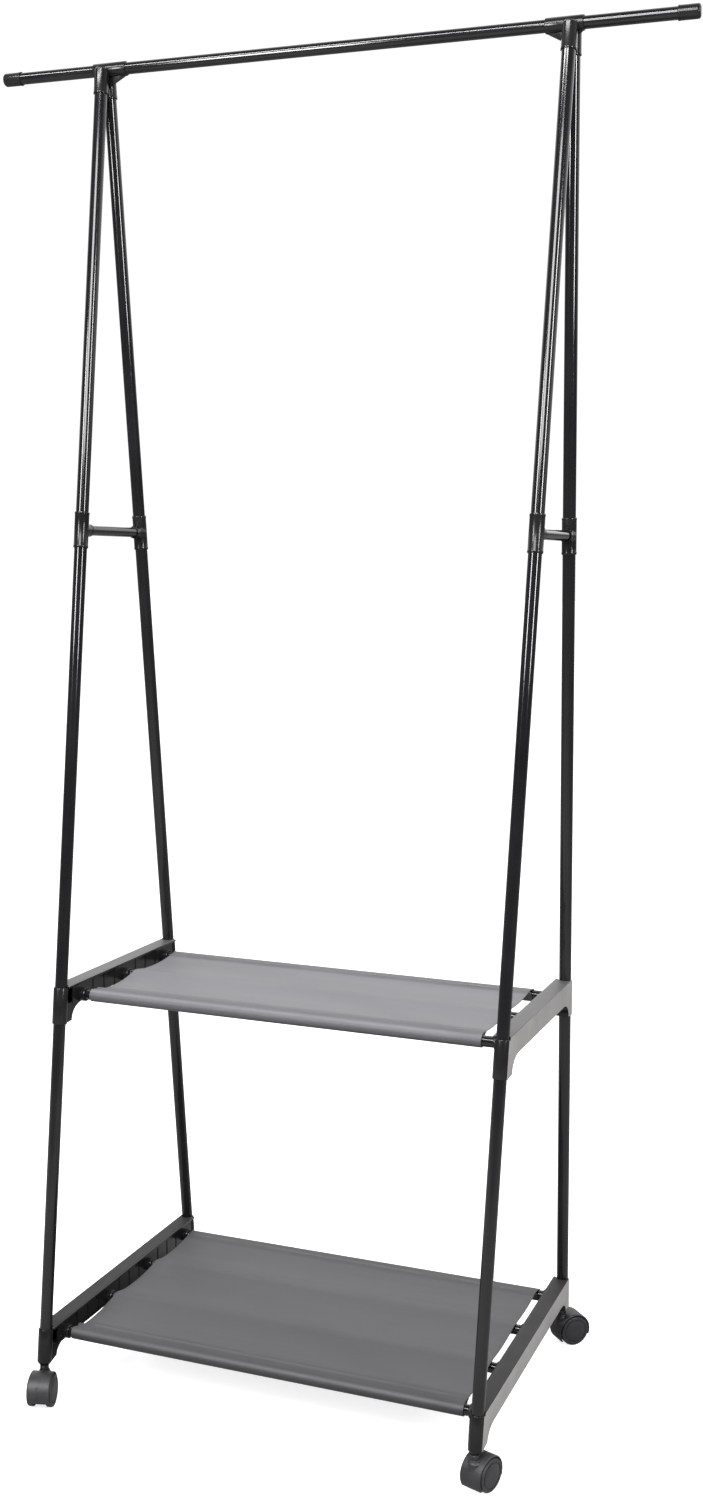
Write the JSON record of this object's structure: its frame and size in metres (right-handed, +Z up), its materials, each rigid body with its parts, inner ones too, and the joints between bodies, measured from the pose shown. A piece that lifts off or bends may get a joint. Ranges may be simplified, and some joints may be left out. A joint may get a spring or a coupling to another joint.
{
  "type": "rolling clothes rack",
  "caption": "Free-standing clothes rack on swivel casters, with leaning tube A-frames, a capped hanging bar and fabric shelves on rods between moulded side rails.",
  "frame": {"origin": "centre of the footprint at floor level: the bottom centre of the bounding box", "axes": "+X along the hanging bar, to the right as seen from the front; the front is -Y; +Z up"},
  "size_m": [0.825, 0.4768, 1.5887],
  "materials": {
    "black_paint": "gloss black powder coat on thin steel tube",
    "black_plastic": "moulded black plastic, semi-gloss",
    "grey_fabric": "thin woven polyester, mid grey",
    "zinc_steel": "zinc-plated steel pin",
    "caster_tread": "hard black nylon wheel"
  },
  "bodies": {
    "root": {"hanging_bar": "black_paint", "bar_cap_left": "black_plastic", "bar_cap_right": "black_plastic", "top_connector_left": "black_plastic", "top_connector_right": "black_plastic", "upper_leg_front_left": "black_paint", "upper_leg_front_right": "black_paint", "upper_leg_rear_left": "black_paint", "upper_leg_rear_right": "black_paint", "middle_leg_front_left": "black_paint", "middle_leg_front_right": "black_paint", "middle_leg_rear_left": "black_paint", "middle_leg_rear_right": "black_paint", "lower_leg_front_left": "black_paint", "lower_leg_front_right": "black_paint", "lower_leg_rear_left": "black_paint", "lower_leg_rear_right": "black_paint", "tee_front_left": "black_plastic", "tee_front_right": "black_plastic", "tee_rear_left": "black_plastic", "tee_rear_right": "black_plastic", "cross_tube_left": "black_paint", "cross_tube_right": "black_paint", "middle_rail_left": "black_plastic", "middle_rail_right": "black_plastic", "low_rail_left": "black_plastic", "low_rail_right": "black_plastic", "middle_shelf_rod_1": "black_paint", "middle_shelf_rod_2": "black_paint", "middle_shelf_rod_3": "black_paint", "low_shelf_rod_1": "black_paint", "low_shelf_rod_2": "black_paint", "low_shelf_rod_3": "black_paint", "low_shelf_rod_4": "black_paint", "middle_shelf_fabric": "grey_fabric", "low_shelf_fabric": "grey_fabric", "caster_stem_front_left": "zinc_steel", "caster_stem_front_right": "zinc_steel", "caster_stem_rear_left": "zinc_steel", "caster_stem_rear_right": "zinc_steel"},
    "caster_front_left": {"caster_hood_front_left": "black_plastic", "caster_axle_front_left": "zinc_steel"},
    "wheel_a_front_left": {"caster_wheel_a_front_left": "caster_tread"},
    "wheel_b_front_left": {"caster_wheel_b_front_left": "caster_tread"},
    "caster_front_right": {"caster_hood_front_right": "black_plastic", "caster_axle_front_right": "zinc_steel"},
    "wheel_a_front_right": {"caster_wheel_a_front_right": "caster_tread"},
    "wheel_b_front_right": {"caster_wheel_b_front_right": "caster_tread"},
    "caster_rear_left": {"caster_hood_rear_left": "black_plastic", "caster_axle_rear_left": "zinc_steel"},
    "wheel_a_rear_left": {"caster_wheel_a_rear_left": "caster_tread"},
    "wheel_b_rear_left": {"caster_wheel_b_rear_left": "caster_tread"},
    "caster_rear_right": {"caster_hood_rear_right": "black_plastic", "caster_axle_rear_right": "zinc_steel"},
    "wheel_a_rear_right": {"caster_wheel_a_rear_right": "caster_tread"},
    "wheel_b_rear_right": {"caster_wheel_b_rear_right": "caster_tread"}
  },
  "joints": [
    {"name": "swivel_front_left", "type": "hinge", "parent": "root", "child": "caster_front_left", "pos_m": [-0.2775, -0.20006, 0.0415], "axis": [0, 0, 1], "continuous": true},
    {"name": "roll_a_front_left", "type": "hinge", "parent": "caster_front_left", "child": "wheel_a_front_left", "pos_m": [-0.27384, -0.21243, 0.01983], "axis": [0.9588, 0.284, 0], "continuous": true},
    {"name": "roll_b_front_left", "type": "hinge", "parent": "caster_front_left", "child": "wheel_b_front_left", "pos_m": [-0.27384, -0.21243, 0.01983], "axis": [0.9588, 0.284, 0], "continuous": true},
    {"name": "swivel_front_right", "type": "hinge", "parent": "root", "child": "caster_front_right", "pos_m": [0.2775, -0.20006, 0.0415], "axis": [0, 0, 1], "continuous": true},
    {"name": "roll_a_front_right", "type": "hinge", "parent": "caster_front_right", "child": "wheel_a_front_right", "pos_m": [0.2817, -0.18787, 0.01983], "axis": [-0.9455, 0.3256, 0], "continuous": true},
    {"name": "roll_b_front_right", "type": "hinge", "parent": "caster_front_right", "child": "wheel_b_front_right", "pos_m": [0.2817, -0.18787, 0.01983], "axis": [-0.9455, 0.3256, 0], "continuous": true},
    {"name": "swivel_rear_left", "type": "hinge", "parent": "root", "child": "caster_rear_left", "pos_m": [-0.2775, 0.20006, 0.0415], "axis": [0, 0, 1], "continuous": true},
    {"name": "roll_a_rear_left", "type": "hinge", "parent": "caster_rear_left", "child": "wheel_a_rear_left", "pos_m": [-0.28116, 0.21243, 0.01983], "axis": [-0.9588, -0.284, 0], "continuous": true},
    {"name": "roll_b_rear_left", "type": "hinge", "parent": "caster_rear_left", "child": "wheel_b_rear_left", "pos_m": [-0.28116, 0.21243, 0.01983], "axis": [-0.9588, -0.284, 0], "continuous": true},
    {"name": "swivel_rear_right", "type": "hinge", "parent": "root", "child": "caster_rear_right", "pos_m": [0.2775, 0.20006, 0.0415], "axis": [0, 0, 1], "continuous": true},
    {"name": "roll_a_rear_right", "type": "hinge", "parent": "caster_rear_right", "child": "wheel_a_rear_right", "pos_m": [0.28684, 0.20896, 0.01983], "axis": [-0.6896, 0.7242, 0], "continuous": true},
    {"name": "roll_b_rear_right", "type": "hinge", "parent": "caster_rear_right", "child": "wheel_b_rear_right", "pos_m": [0.28684, 0.20896, 0.01983], "axis": [-0.6896, 0.7242, 0], "continuous": true}
  ]
}
